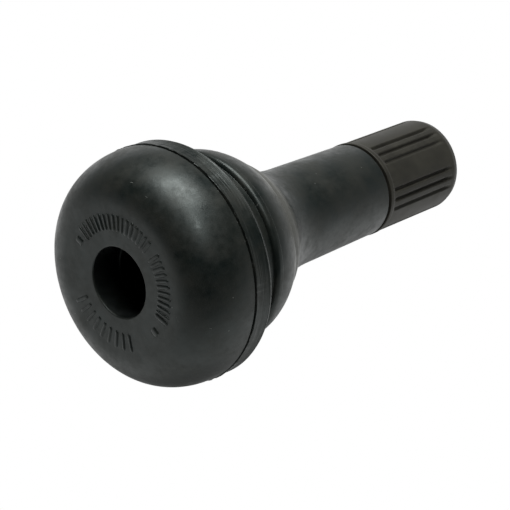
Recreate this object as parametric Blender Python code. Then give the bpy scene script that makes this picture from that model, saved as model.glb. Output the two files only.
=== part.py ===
"""Snap-in rubber tyre valve with its screw-in valve core and its plastic cap.

The valve stands on the flat face of its rubber head, at z = 0, with the centre of the
air inlet at the origin. Z runs up the stem to the end of the cap. Sizes are in metres.
"""
import math

import bmesh
import bpy
from mathutils import Vector

# Clearances between pieces that touch on the real valve
BOND_GAP = 0.00005
SEAT_GAP = 0.00005
CORE_THREAD_GAP = 0.00008
CAP_THREAD_GAP = 0.00010
PIN_GAP = 0.00005

# Valve core, radii from the pin outwards
PIN_R = 0.00050
PIN_TIP_STEP = 0.00015
PIN_TIP_R = PIN_R + PIN_TIP_STEP
PIN_TIP_CHAMFER = 0.00015
PIN_HOLE_GAP = 0.00015
PIN_HOLE_R = PIN_TIP_R + PIN_HOLE_GAP
PIN_RIVET_STEP = 0.00040
PIN_RIVET_R = PIN_R + PIN_RIVET_STEP
GUIDE_GAP = 0.00025
GUIDE_HOLE_R = PIN_R + GUIDE_GAP
SPRING_WIRE_R = 0.00012
SPRING_PIN_GAP = 0.00026
SPRING_COIL_R = PIN_R + SPRING_PIN_GAP + SPRING_WIRE_R
SPRING_ROOM = 0.00020
SPRING_CHAMBER_R = SPRING_COIL_R + SPRING_WIRE_R + SPRING_ROOM
FLANGE_GAP = 0.00012
PIN_FLANGE_R = SPRING_CHAMBER_R - FLANGE_GAP
BARREL_WALL = 0.00075
BARREL_R = SPRING_CHAMBER_R + BARREL_WALL
BARREL_WAIST_WALL = 0.00040
PACKING_WAIST_R = SPRING_CHAMBER_R + BARREL_WAIST_WALL
CHAMBER_GAP = 0.00017
CHAMBER_R = BARREL_R + CHAMBER_GAP
SEAT_SPREAD = 0.00056
CORE_BORE_R = CHAMBER_R + SEAT_SPREAD
PLUG_R = CORE_BORE_R - CORE_THREAD_GAP
PLUG_CHAMFER = 0.00015
COLLAR_STEP = 0.00015
COLLAR_R = PLUG_R - COLLAR_STEP
SWIVEL_WALL = 0.00050
SWIVEL_NECK_R = GUIDE_HOLE_R + SWIVEL_WALL
SWIVEL_HEAD_STEP = 0.00040
SWIVEL_HEAD_R = SWIVEL_NECK_R + SWIVEL_HEAD_STEP
FLATS_WALL = 0.00055
FLATS_HALF_WIDTH = PIN_HOLE_R + FLATS_WALL
CUP_STEP = 0.00020
CUP_R = BARREL_R - CUP_STEP
CUP_WALL = 0.00020
GASKET_R = CUP_R - CUP_WALL - SEAT_GAP
LIP_INSET = 0.00020
LIP_R = GASKET_R - LIP_INSET
LIP_HALF_WIDTH = 0.00010
LIP_SLOPE = 0.00012

# Radii of the brass stem, sized round the core; the rubber and the cap are sized round it
CHAMBER_STEP = 0.00037
AIR_BORE_R = CHAMBER_R - CHAMBER_STEP
THREAD_WALL = 0.00117
CAP_THREAD_R = CORE_BORE_R + THREAD_WALL
WAIST_STEP = 0.00075
WAIST_R = CAP_THREAD_R - WAIST_STEP
BARB_REACH = 0.00040
BARB_R = WAIST_R + BARB_REACH

# Rubber head: a flat face round the air inlet, a dome, and the band that seals on the rim
INLET_R = 0.003385
INLET_EDGE = 0.00022
FACE_R = 0.00700
DOME_R = 0.01140
DOME_HEIGHT = 0.00580
DOME_FULLNESS = 2.1
DOME_STEPS = 9
FLASH_HEIGHT = 0.00012
FLASH_RISE = 0.00005
BAND_HEIGHT = 0.00235
BAND_TAPER = 0.00002
BAND_EDGE = 0.00020
BAND_TOP_R = DOME_R - BAND_TAPER
BAND_TOP_Z = DOME_HEIGHT + BAND_HEIGHT

# Groove that the edge of the wheel rim fills
RIM_GROOVE_ROOT = 0.00030
RIM_GROOVE_WIDTH = 0.00280
SHOULDER_Z = BAND_TOP_Z + RIM_GROOVE_WIDTH

# Sleeve round the stem, and the shoulder it grows out of by two moulded ridges
SLEEVE_WALL = 0.00101
SLEEVE_TAPER = 0.00013
SLEEVE_EDGE = 0.00035
SLEEVE_END_R = CAP_THREAD_R + SLEEVE_WALL
SLEEVE_START_R = SLEEVE_END_R + SLEEVE_TAPER
NECK_SPREAD = 0.00123
NECK_START_R = SLEEVE_START_R + NECK_SPREAD
NECK_POWER = 2.65
NECK_STEPS = 6
SECOND_RIDGE_SPREAD = 0.00076
SECOND_RIDGE_R = NECK_START_R + SECOND_RIDGE_SPREAD
SECOND_RIDGE_ROUND = 0.00060
VALLEY_SPREAD = 0.00040
VALLEY_R = SECOND_RIDGE_R + VALLEY_SPREAD
VALLEY_ROUND = 0.00030
RIDGE_SPREAD = 0.00098
RIDGE_R = VALLEY_R + RIDGE_SPREAD
RIDGE_ROUND = 0.00080
CONE_SPREAD = 0.00130
SHOULDER_R = RIDGE_R + CONE_SPREAD
SHOULDER_STEP = 0.00050
SHOULDER_LEDGE = 0.00005
SHOULDER_EDGE = SHOULDER_STEP - SHOULDER_LEDGE
RIM_GROOVE_R = SHOULDER_R - SHOULDER_STEP

# Heights of the shoulder's steps, stacked from its lower face up to the end of the sleeve
SHOULDER_WALL_HEIGHT = 0.00075
CONE_HEIGHT = 0.00328
VALLEY_HEIGHT = 0.00110
SECOND_RIDGE_HEIGHT = 0.00104
RIDGE_FALL_HEIGHT = 0.00088
NECK_HEIGHT = 0.00600
SLEEVE_HEIGHT = 0.00960
CONE_START_Z = SHOULDER_Z + SHOULDER_WALL_HEIGHT
RIDGE_Z = CONE_START_Z + CONE_HEIGHT
VALLEY_Z = RIDGE_Z + VALLEY_HEIGHT
SECOND_RIDGE_Z = VALLEY_Z + SECOND_RIDGE_HEIGHT
NECK_START_Z = SECOND_RIDGE_Z + RIDGE_FALL_HEIGHT
NECK_END_Z = NECK_START_Z + NECK_HEIGHT
SLEEVE_END_Z = NECK_END_Z + SLEEVE_HEIGHT

# Brass stem along its length: a foot and two barbs hold it in the rubber
FOOT_Z = 0.00930
FOOT_LEDGE = 0.001115
FOOT_R = INLET_R + FOOT_LEDGE
FOOT_HEIGHT = 0.00100
FOOT_CONE = 0.00060
BARB_HEIGHT = 0.00120
FIRST_BARB_RISE = 0.00470
BARB_PITCH = 0.00600
BARB_COUNT = 2
WAIST_TOP_DEPTH = 0.00360
WAIST_TOP_Z = SLEEVE_END_Z - WAIST_TOP_DEPTH
CAP_THREAD_LENGTH = 0.00890
MOUTH_Z = SLEEVE_END_Z + CAP_THREAD_LENGTH
MOUTH_CHAMFER = 0.00030
CORE_MOUTH_CHAMFER = 0.00025

# Valve core along its length, stacked from the stem's mouth downwards
PLUG_DEPTH = 0.00040
PLUG_TOP_Z = MOUTH_Z - PLUG_DEPTH
PLUG_LENGTH = 0.00565
PLUG_BOTTOM_Z = PLUG_TOP_Z - PLUG_LENGTH
FLATS_LENGTH = 0.00150
FLATS_Z = PLUG_TOP_Z - FLATS_LENGTH
COLLAR_TOP_Z = PLUG_BOTTOM_Z - SEAT_GAP
COLLAR_HEIGHT = 0.00055
COLLAR_Z = COLLAR_TOP_Z - COLLAR_HEIGHT
SWIVEL_NECK_LENGTH = 0.00085
SWIVEL_HEAD_Z = COLLAR_TOP_Z + SWIVEL_NECK_LENGTH
SWIVEL_HEAD_HEIGHT = 0.00080
PACKING_HEIGHT = 0.00175
PACKING_Z = COLLAR_Z - SEAT_GAP - PACKING_HEIGHT
SEAT_LEAD = 0.00015
SEAT_TOP_Z = COLLAR_Z + SEAT_LEAD
SEAT_BOTTOM_Z = PACKING_Z - SEAT_GAP
BARREL_LENGTH = 0.00380
BARREL_BOTTOM_Z = SEAT_BOTTOM_Z - BARREL_LENGTH
LIP_HEIGHT = 0.00030
LIP_Z = BARREL_BOTTOM_Z - LIP_HEIGHT
SPRING_FLOOR = 0.00080
SPRING_SEAT_Z = BARREL_BOTTOM_Z + SPRING_FLOOR
SPRING_CEILING = 0.00050
SPRING_CHAMBER_TOP_Z = COLLAR_TOP_Z - SPRING_CEILING
FLANGE_HEADROOM = 0.00055
PIN_FLANGE_HEIGHT = 0.00040
PIN_FLANGE_Z = SPRING_CHAMBER_TOP_Z - FLANGE_HEADROOM - PIN_FLANGE_HEIGHT
PIN_TIP_DEPTH = 0.00025
PIN_TIP_Z = MOUTH_Z - PIN_TIP_DEPTH
PIN_TIP_HEIGHT = 0.00060
GASKET_TOP_Z = LIP_Z - SEAT_GAP
GASKET_HEIGHT = 0.00150
GASKET_Z = GASKET_TOP_Z - GASKET_HEIGHT
CUP_FLOOR = 0.00035
CUP_Z = GASKET_Z - SEAT_GAP - CUP_FLOOR
CUP_HEIGHT = 0.00145
PIN_RIVET_HEIGHT = 0.00040
PIN_BOTTOM_Z = CUP_Z - SEAT_GAP - PIN_RIVET_HEIGHT
PIN_TRAVEL = 0.00120
CHAMBER_ROOM = 0.00070
CHAMBER_BOTTOM_Z = PIN_BOTTOM_Z - PIN_TRAVEL - CHAMBER_ROOM
SPRING_TURNS = 6
SPRING_STEPS_PER_TURN = 14
SPRING_WIRE_SIDES = 6

# Plastic cap and the washer inside it
CAP_BORE_R = CAP_THREAD_R + CAP_THREAD_GAP
CAP_WALL = 0.00092
CAP_R = CAP_BORE_R + CAP_WALL
CAP_RIM_PROUD = 0.00006
CAP_RIM_R = CAP_R + CAP_RIM_PROUD
CAP_RIM_EDGE = 0.00015
CAP_RIM_HEIGHT = 0.00055
CAP_END_INSET = 0.00047
CAP_END_R = CAP_R - CAP_END_INSET
CAP_END_ROUND = 0.00150
CAP_BEND_INSET = 0.00020
CAP_BEND_DEPTH = 0.00095
CAP_STANDOFF = 0.00040
CAP_BOTTOM_Z = SLEEVE_END_Z + CAP_STANDOFF
CAP_LEAD_IN = 0.00030
SEAL_THICKNESS = 0.00120
SEAL_EDGE_GAP = 0.00015
SEAL_R = CAP_BORE_R - SEAL_EDGE_GAP
SEAL_HOLE_R = 0.00150
CAP_CEILING_Z = MOUTH_Z + SEAT_GAP + SEAL_THICKNESS + SEAT_GAP
CAP_END_WALL = 0.00220
CAP_END_Z = CAP_CEILING_Z + CAP_END_WALL

# Grip grooves of the cap, in groups of three with a wide land between the groups
GROOVE_GROUPS = 6
GROOVES_PER_GROUP = 3
GROOVE_PITCH_DEG = 13.7
GROOVE_WIDTH_DEG = 6.4
GROOVE_FLOOR_DEG = 2.6
GROOVE_TURN_DEG = 10.4
GROOVE_DEPTH = 0.00032
GROOVE_RUN_OUT = 0.00025
GROOVE_START_GAP = 0.00015
GROOVE_END_GAP = 0.00160
GROOVE_START_Z = CAP_BOTTOM_Z + CAP_RIM_HEIGHT + GROOVE_START_GAP
GROOVE_END_Z = CAP_END_Z - GROOVE_END_GAP
LAND_COLUMNS = 2

# Facets round each turned piece
BODY_SEGMENTS = 56
STEM_SEGMENTS = 40
CORE_SEGMENTS = 32
PIN_SEGMENTS = 20
SHARP_ANGLE = math.radians(32)
MERGE_DISTANCE = 1e-7


def srgb(hex_colour):
    """Turn an sRGB hex colour into the linear RGBA that a shader takes."""
    channels = [int(hex_colour[i:i + 2], 16) / 255 for i in (0, 2, 4)]
    linear = [c / 12.92 if c <= 0.04045 else ((c + 0.055) / 1.055) ** 2.4 for c in channels]
    return (*linear, 1.0)


def material(name, hex_colour, roughness, metallic=0.0):
    """Make the Principled material of one piece."""
    made = bpy.data.materials.new(name)
    made.use_nodes = True
    shader = made.node_tree.nodes["Principled BSDF"]
    shader.inputs["Base Color"].default_value = srgb(hex_colour)
    shader.inputs["Roughness"].default_value = roughness
    shader.inputs["Metallic"].default_value = metallic
    made.diffuse_color = srgb(hex_colour)
    return made


def fillet(before, corner, after, radius, steps):
    """Points of the arc that rounds one corner of an outline."""
    towards_before = (before - corner).normalized()
    towards_after = (after - corner).normalized()
    half = towards_before.angle(towards_after) / 2
    centre = corner + (towards_before + towards_after).normalized() * (radius / math.sin(half))
    start = corner + towards_before * (radius / math.tan(half)) - centre
    end = corner + towards_after * (radius / math.tan(half)) - centre
    sweep = math.atan2(start.x * end.y - start.y * end.x, start.dot(end))
    points = []
    for step in range(steps + 1):
        angle = sweep * step / steps
        turned_x = start.x * math.cos(angle) - start.y * math.sin(angle)
        turned_y = start.x * math.sin(angle) + start.y * math.cos(angle)
        points.append(centre + Vector((turned_x, turned_y)))
    return points


def outline(corners):
    """Points of a closed outline given as (r, z) or, for a rounded corner, (r, z, radius, steps)."""
    points = []
    for index, corner in enumerate(corners):
        here = Vector(corner[:2])
        if len(corner) == 2:
            points.append(here)
            continue
        before = Vector(corners[index - 1][:2])
        after = Vector(corners[(index + 1) % len(corners)][:2])
        points.extend(fillet(before, here, after, corner[2], corner[3]))
    return points


def offset(line, gap):
    """Move an open line of points outwards by a gap, to the right of the way it runs."""
    points = [Vector(point[:2]) for point in line]
    normals = []
    for start, end in zip(points, points[1:]):
        run = (end - start).normalized()
        normals.append(Vector((run.y, -run.x)))
    moved = []
    for index, point in enumerate(points):
        before = normals[max(index - 1, 0)]
        after = normals[min(index, len(normals) - 1)]
        mitre = (before + after).normalized()
        moved.append(point + mitre * (gap / mitre.dot(before)))
    return [tuple(point) for point in moved]


def finish(name, bm, made_material):
    """Turn a bmesh into a smooth-shaded object of the scene."""
    bmesh.ops.remove_doubles(bm, verts=bm.verts, dist=MERGE_DISTANCE)
    bmesh.ops.recalc_face_normals(bm, faces=bm.faces)
    mesh = bpy.data.meshes.new(name)
    bm.to_mesh(mesh)
    bm.free()
    mesh.shade_smooth()
    mesh.set_sharp_from_angle(angle=SHARP_ANGLE)
    mesh.materials.append(made_material)
    made = bpy.data.objects.new(name, mesh)
    bpy.context.collection.objects.link(made)
    return made


def spun(points, segments, closed=True):
    """Spin an outline round the stem's axis. An open one starts and ends on the axis."""
    bm = bmesh.new()
    verts = [bm.verts.new((r, 0, z)) for r, z in points]
    edges = [bm.edges.new(pair) for pair in zip(verts, verts[1:])]
    if closed:
        edges.append(bm.edges.new((verts[-1], verts[0])))
    bmesh.ops.spin(
        bm, geom=verts + edges, cent=(0, 0, 0), axis=(0, 0, 1),
        angle=math.tau, steps=segments, use_merge=True)
    return bm


def stem_line():
    """Outer line of the stem inside the rubber, from the inlet's wall up to the sleeve's end."""
    line = [(INLET_R, FOOT_Z), (FOOT_R, FOOT_Z), (FOOT_R, FOOT_Z + FOOT_HEIGHT)]
    line.append((WAIST_R, FOOT_Z + FOOT_HEIGHT + FOOT_CONE))
    for index in range(BARB_COUNT):
        bottom = FOOT_Z + FIRST_BARB_RISE + index * BARB_PITCH
        line += [(WAIST_R, bottom), (BARB_R, bottom + BARB_HEIGHT), (WAIST_R, bottom + BARB_HEIGHT)]
    line.append((WAIST_R, WAIST_TOP_Z))
    line.append((CAP_THREAD_R, WAIST_TOP_Z + CAP_THREAD_R - WAIST_R))
    line.append((CAP_THREAD_R, SLEEVE_END_Z))
    return line


def dome_points():
    """Slightly full quarter of an ellipse from the edge of the flat face to the parting line."""
    power = 2 / DOME_FULLNESS
    points = []
    for step in range(DOME_STEPS + 1):
        angle = math.radians(90) * step / DOME_STEPS
        reach = FACE_R + (DOME_R - FACE_R) * math.sin(angle) ** power
        points.append((reach, DOME_HEIGHT * (1 - math.cos(angle) ** power)))
    return points


def neck_points():
    """Concave curve that runs from the second ridge into the sleeve."""
    points = []
    for step in range(NECK_STEPS + 1):
        share = 1 - step / NECK_STEPS
        reach = SLEEVE_START_R + (NECK_START_R - SLEEVE_START_R) * share ** NECK_POWER
        points.append((reach, NECK_END_Z - (NECK_END_Z - NECK_START_Z) * share))
    return points


def rubber_outline():
    """Section of the moulded rubber: head, rim groove, shoulder, sleeve and the stem's cavity."""
    head = [(INLET_R, 0, INLET_EDGE, 2)] + dome_points()
    band = [
        (DOME_R + FLASH_HEIGHT, DOME_HEIGHT + FLASH_RISE),
        (BAND_TOP_R, BAND_TOP_Z, BAND_EDGE, 2),
    ]
    groove = [
        (RIM_GROOVE_R, BAND_TOP_Z, RIM_GROOVE_ROOT, 2),
        (RIM_GROOVE_R, SHOULDER_Z),
        (SHOULDER_R, SHOULDER_Z, SHOULDER_EDGE, 2),
    ]
    shoulder = [
        (SHOULDER_R, CONE_START_Z),
        (RIDGE_R, RIDGE_Z, RIDGE_ROUND, 2),
        (VALLEY_R, VALLEY_Z, VALLEY_ROUND, 2),
        (SECOND_RIDGE_R, SECOND_RIDGE_Z, SECOND_RIDGE_ROUND, 2),
    ]
    sleeve = neck_points() + [(SLEEVE_END_R, SLEEVE_END_Z, SLEEVE_EDGE, 2)]
    cavity = offset(stem_line(), BOND_GAP)
    cavity[0] = (INLET_R, cavity[0][1])
    return outline(head + band + groove + shoulder + sleeve + cavity[::-1])


def build_rubber_body(made_material):
    """The bonded rubber moulding that snaps into the rim."""
    finish("rubber_body", spun(rubber_outline(), BODY_SEGMENTS), made_material)


def build_brass_stem(made_material):
    """Turned stem: foot and barbs, cap thread outside, core seat and core thread inside."""
    outside = [(AIR_BORE_R, FOOT_Z)] + stem_line()[1:-1] + [
        (CAP_THREAD_R, MOUTH_Z - MOUTH_CHAMFER),
        (CAP_THREAD_R - MOUTH_CHAMFER, MOUTH_Z),
    ]
    inside = [
        (CORE_BORE_R + CORE_MOUTH_CHAMFER, MOUTH_Z),
        (CORE_BORE_R, MOUTH_Z - CORE_MOUTH_CHAMFER),
        (CORE_BORE_R, SEAT_TOP_Z),
        (CHAMBER_R, SEAT_BOTTOM_Z),
        (CHAMBER_R, CHAMBER_BOTTOM_Z),
        (AIR_BORE_R, CHAMBER_BOTTOM_Z - (CHAMBER_R - AIR_BORE_R)),
    ]
    finish("brass_stem", spun(outline(outside + inside), STEM_SEGMENTS), made_material)


def build_core_plug(made_material):
    """Threaded plug with two key flats, hollow below where the barrel's head swivels."""
    recess_r = SWIVEL_HEAD_R + SEAT_GAP
    recess_bottom = SWIVEL_HEAD_Z - SEAT_GAP
    recess_top = SWIVEL_HEAD_Z + SWIVEL_HEAD_HEIGHT + SEAT_GAP
    bm = spun(outline([
        (SWIVEL_NECK_R + SEAT_GAP, PLUG_BOTTOM_Z),
        (PLUG_R - PLUG_CHAMFER, PLUG_BOTTOM_Z),
        (PLUG_R, PLUG_BOTTOM_Z + PLUG_CHAMFER),
        (PLUG_R, FLATS_Z - SEAT_GAP),
        (PLUG_R - PLUG_CHAMFER, FLATS_Z),
        (PLUG_R - PLUG_CHAMFER, PLUG_TOP_Z - PLUG_CHAMFER),
        (PLUG_R - 2 * PLUG_CHAMFER, PLUG_TOP_Z),
        (PIN_HOLE_R, PLUG_TOP_Z),
        (PIN_HOLE_R, recess_top),
        (recess_r, recess_top),
        (recess_r, recess_bottom),
        (SWIVEL_NECK_R + SEAT_GAP, recess_bottom),
    ]), CORE_SEGMENTS)
    for vert in bm.verts:
        if vert.co.z > FLATS_Z - SEAT_GAP / 2:
            vert.co.y = max(-FLATS_HALF_WIDTH, min(FLATS_HALF_WIDTH, vert.co.y))
    finish("core_plug", bm, made_material)


def build_core_barrel(made_material):
    """Barrel: swivel head, collar over the packing, spring chamber and the sealing lip."""
    head_top = SWIVEL_HEAD_Z + SWIVEL_HEAD_HEIGHT
    lip_outer = LIP_R + LIP_HALF_WIDTH
    lip_inner = LIP_R - LIP_HALF_WIDTH
    finish("core_barrel", spun(outline([
        (PIN_HOLE_R, BARREL_BOTTOM_Z),
        (lip_inner - LIP_SLOPE, BARREL_BOTTOM_Z),
        (lip_inner, LIP_Z),
        (lip_outer, LIP_Z),
        (lip_outer + LIP_SLOPE, BARREL_BOTTOM_Z),
        (BARREL_R, BARREL_BOTTOM_Z),
        (BARREL_R, SEAT_BOTTOM_Z),
        (PACKING_WAIST_R, SEAT_BOTTOM_Z),
        (PACKING_WAIST_R, COLLAR_Z),
        (COLLAR_R, COLLAR_Z),
        (COLLAR_R, COLLAR_TOP_Z),
        (SWIVEL_NECK_R, COLLAR_TOP_Z),
        (SWIVEL_NECK_R, SWIVEL_HEAD_Z),
        (SWIVEL_HEAD_R, SWIVEL_HEAD_Z),
        (SWIVEL_HEAD_R, head_top),
        (GUIDE_HOLE_R, head_top),
        (GUIDE_HOLE_R, SPRING_CHAMBER_TOP_Z),
        (SPRING_CHAMBER_R, SPRING_CHAMBER_TOP_Z),
        (SPRING_CHAMBER_R, SPRING_SEAT_Z),
        (PIN_HOLE_R, SPRING_SEAT_Z),
    ]), CORE_SEGMENTS), made_material)


def seat_radius(z):
    """Radius of the stem's conical core seat at a height."""
    share = (z - SEAT_BOTTOM_Z) / (SEAT_TOP_Z - SEAT_BOTTOM_Z)
    return CHAMBER_R + (CORE_BORE_R - CHAMBER_R) * share


def build_barrel_packing(made_material):
    """Conical packing ring that seals the barrel in the stem's seat."""
    top = COLLAR_Z - SEAT_GAP
    finish("barrel_packing", spun(outline([
        (PACKING_WAIST_R + SEAT_GAP, PACKING_Z),
        (seat_radius(PACKING_Z) - SEAT_GAP, PACKING_Z),
        (seat_radius(top) - SEAT_GAP, top),
        (PACKING_WAIST_R + SEAT_GAP, top),
    ]), CORE_SEGMENTS), made_material)


def build_core_pin(made_material):
    """Pin with its tip, the flange that the spring lifts, and the rivet head under the cup."""
    rivet_top = CUP_Z - SEAT_GAP
    flange_top = PIN_FLANGE_Z + PIN_FLANGE_HEIGHT
    tip_bottom = PIN_TIP_Z - PIN_TIP_HEIGHT
    points = [
        (0, PIN_BOTTOM_Z),
        (PIN_RIVET_R, PIN_BOTTOM_Z),
        (PIN_RIVET_R, rivet_top),
        (PIN_R, rivet_top),
        (PIN_R, PIN_FLANGE_Z),
        (PIN_FLANGE_R, PIN_FLANGE_Z),
        (PIN_FLANGE_R, flange_top),
        (PIN_R, flange_top),
        (PIN_R, tip_bottom - (PIN_TIP_R - PIN_R)),
        (PIN_TIP_R, tip_bottom),
        (PIN_TIP_R, PIN_TIP_Z - PIN_TIP_CHAMFER),
        (PIN_TIP_R - PIN_TIP_CHAMFER, PIN_TIP_Z),
        (0, PIN_TIP_Z),
    ]
    finish("core_pin", spun(points, PIN_SEGMENTS, closed=False), made_material)


def build_seat_cup(made_material):
    """Pressed cup that carries the gasket on the pin's lower end."""
    floor_top = CUP_Z + CUP_FLOOR
    finish("seat_cup", spun(outline([
        (PIN_R + PIN_GAP, CUP_Z),
        (CUP_R, CUP_Z, CUP_WALL / 2, 2),
        (CUP_R, CUP_Z + CUP_HEIGHT),
        (CUP_R - CUP_WALL, CUP_Z + CUP_HEIGHT),
        (CUP_R - CUP_WALL, floor_top),
        (PIN_R + PIN_GAP, floor_top),
    ]), CORE_SEGMENTS), made_material)


def build_seat_gasket(made_material):
    """Rubber ring in the cup that closes on the barrel's lip."""
    finish("seat_gasket", spun(outline([
        (PIN_R + PIN_GAP, GASKET_Z),
        (GASKET_R, GASKET_Z),
        (GASKET_R, GASKET_TOP_Z),
        (PIN_R + PIN_GAP, GASKET_TOP_Z),
    ]), CORE_SEGMENTS), made_material)


def build_core_spring(made_material):
    """Coil spring round the pin, from the barrel's floor to the pin's flange."""
    start_z = SPRING_SEAT_Z + SEAT_GAP + SPRING_WIRE_R
    end_z = PIN_FLANGE_Z - SEAT_GAP - SPRING_WIRE_R
    steps = SPRING_TURNS * SPRING_STEPS_PER_TURN
    slope = math.atan2((end_z - start_z) / SPRING_TURNS, math.tau * SPRING_COIL_R)
    bm = bmesh.new()
    rings = []
    for step in range(steps + 1):
        turn = math.tau * step / SPRING_STEPS_PER_TURN
        outwards = Vector((math.cos(turn), math.sin(turn), 0))
        along = Vector((-math.sin(turn), math.cos(turn), 0)) * math.cos(slope)
        along.z = math.sin(slope)
        upwards = outwards.cross(along)
        middle = outwards * SPRING_COIL_R
        middle.z = start_z + (end_z - start_z) * step / steps
        ring = []
        for side in range(SPRING_WIRE_SIDES):
            angle = math.tau * side / SPRING_WIRE_SIDES
            reach = outwards * math.cos(angle) + upwards * math.sin(angle)
            ring.append(bm.verts.new(middle + reach * SPRING_WIRE_R))
        rings.append(ring)
    for lower, upper in zip(rings, rings[1:]):
        for side in range(SPRING_WIRE_SIDES):
            following = (side + 1) % SPRING_WIRE_SIDES
            bm.faces.new((lower[side], lower[following], upper[following], upper[side]))
    bm.faces.new(rings[0][::-1])
    bm.faces.new(rings[-1])
    finish("core_spring", bm, made_material)


def groove_columns():
    """Angles round the cap, each with the share of the groove's depth cut there."""
    columns = []
    half_width = GROOVE_WIDTH_DEG / 2
    half_floor = GROOVE_FLOOR_DEG / 2
    group_pitch = 360 / GROOVE_GROUPS
    side_grooves = (GROOVES_PER_GROUP - 1) / 2
    for group in range(GROOVE_GROUPS):
        middle = GROOVE_TURN_DEG + group * group_pitch
        for index in range(GROOVES_PER_GROUP):
            centre = middle + (index - side_grooves) * GROOVE_PITCH_DEG
            columns += [(centre - half_width, 0), (centre - half_floor, 1)]
            columns += [(centre + half_floor, 1), (centre + half_width, 0)]
        land_start = columns[-1][0]
        land = group_pitch - 2 * side_grooves * GROOVE_PITCH_DEG - GROOVE_WIDTH_DEG
        for index in range(LAND_COLUMNS):
            columns.append((land_start + land * (index + 1) / (LAND_COLUMNS + 1), 0))
    return columns


def cap_rows():
    """Rows from the ceiling down the bore and up the outside: r, z and share of groove depth."""
    return [
        (0, CAP_CEILING_Z, 0),
        (CAP_BORE_R, CAP_CEILING_Z, 0),
        (CAP_BORE_R, CAP_BOTTOM_Z + CAP_LEAD_IN, 0),
        (CAP_BORE_R + CAP_LEAD_IN, CAP_BOTTOM_Z, 0),
        (CAP_RIM_R - CAP_RIM_EDGE, CAP_BOTTOM_Z, 0),
        (CAP_RIM_R, CAP_BOTTOM_Z + CAP_RIM_EDGE, 0),
        (CAP_RIM_R, CAP_BOTTOM_Z + CAP_RIM_HEIGHT, 0),
        (CAP_R, GROOVE_START_Z, 0),
        (CAP_R, GROOVE_START_Z + GROOVE_RUN_OUT, 1),
        (CAP_R, GROOVE_END_Z - GROOVE_RUN_OUT, 1),
        (CAP_R, GROOVE_END_Z, 0),
        (CAP_R, CAP_END_Z - CAP_END_ROUND, 0),
        (CAP_R - CAP_BEND_INSET, CAP_END_Z - CAP_BEND_DEPTH, 0),
        (CAP_END_R, CAP_END_Z, 0),
        (0, CAP_END_Z, 0),
    ]


def build_cap(made_material):
    """Screw cap with groups of grip grooves between a plain rim and a plain end."""
    bm = bmesh.new()
    columns = groove_columns()
    rings = []
    for reach, z, cut in cap_rows():
        ring = []
        for angle_deg, share in columns:
            angle = math.radians(angle_deg)
            radius = reach - GROOVE_DEPTH * cut * share
            ring.append(bm.verts.new((radius * math.cos(angle), radius * math.sin(angle), z)))
        rings.append(ring)
    for near, far in zip(rings, rings[1:]):
        for index in range(len(columns)):
            following = (index + 1) % len(columns)
            bm.faces.new((near[index], near[following], far[following], far[index]))
    finish("cap", bm, made_material)


def build_cap_seal(made_material):
    """Rubber washer in the cap that closes on the stem's mouth."""
    bottom = MOUTH_Z + SEAT_GAP
    top = CAP_CEILING_Z - SEAT_GAP
    finish("cap_seal", spun(outline([
        (SEAL_HOLE_R, bottom),
        (SEAL_R, bottom),
        (SEAL_R, top),
        (SEAL_HOLE_R, top),
    ]), CORE_SEGMENTS), made_material)


def main():
    for old in list(bpy.data.objects):
        bpy.data.objects.remove(old, do_unlink=True)
    build_rubber_body(material("black_rubber", "1b1c1c", 0.52))
    build_brass_stem(material("stem_brass", "c2a15a", 0.32, 1.0))
    build_core_plug(material("plug_brass", "c9a861", 0.30, 1.0))
    build_core_barrel(material("barrel_brass", "bf9d57", 0.34, 1.0))
    build_barrel_packing(material("packing_ptfe", "a83a30", 0.45))
    build_core_pin(material("pin_brass", "ccae6c", 0.28, 1.0))
    build_core_spring(material("spring_steel", "b9bcc0", 0.25, 1.0))
    build_seat_cup(material("cup_brass", "c4a45e", 0.33, 1.0))
    build_seat_gasket(material("gasket_rubber", "202020", 0.60))
    build_cap(material("cap_plastic", "2b2b2a", 0.48))
    build_cap_seal(material("seal_rubber", "242424", 0.65))


main()
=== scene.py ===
# %% [markdown]
# # A snap-in tyre valve
# This lesson dresses the CAD model of a rubber tyre valve so that it looks like the
# photograph. The valve stands on the flat face of its rubber head at z = 0, and its
# stem runs up the Z axis. The frame gives the CAD pieces, which are never moved: a
# finer piece takes a node's place, or the node stays and gets a better material.

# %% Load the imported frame
import math
import random

import bmesh
import bpy
from mathutils import Matrix, Vector


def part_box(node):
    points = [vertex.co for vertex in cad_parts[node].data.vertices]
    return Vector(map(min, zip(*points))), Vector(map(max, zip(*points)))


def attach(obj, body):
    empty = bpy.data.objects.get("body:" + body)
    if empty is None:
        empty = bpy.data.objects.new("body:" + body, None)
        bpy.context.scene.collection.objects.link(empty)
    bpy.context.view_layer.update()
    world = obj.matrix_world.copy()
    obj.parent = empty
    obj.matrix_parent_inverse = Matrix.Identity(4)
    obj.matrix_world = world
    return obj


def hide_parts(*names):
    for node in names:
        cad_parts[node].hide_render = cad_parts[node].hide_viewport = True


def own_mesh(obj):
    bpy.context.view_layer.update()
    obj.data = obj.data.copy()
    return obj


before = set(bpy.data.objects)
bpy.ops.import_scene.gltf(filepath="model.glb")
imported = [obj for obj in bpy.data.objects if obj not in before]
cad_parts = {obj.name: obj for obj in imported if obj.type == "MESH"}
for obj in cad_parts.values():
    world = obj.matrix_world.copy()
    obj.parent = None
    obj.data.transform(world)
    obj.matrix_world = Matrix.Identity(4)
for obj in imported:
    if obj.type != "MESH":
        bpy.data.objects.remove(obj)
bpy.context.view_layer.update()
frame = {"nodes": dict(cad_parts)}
print("nodes:", ", ".join(frame["nodes"]))

# %% [markdown]
# Sizes below are in millimetres, and MM turns them into Blender's metres. The outer
# sizes come from the frame, so that a new pack moves the looks with it.

# %% Sizes that come from the frame
MM = 0.001


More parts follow.
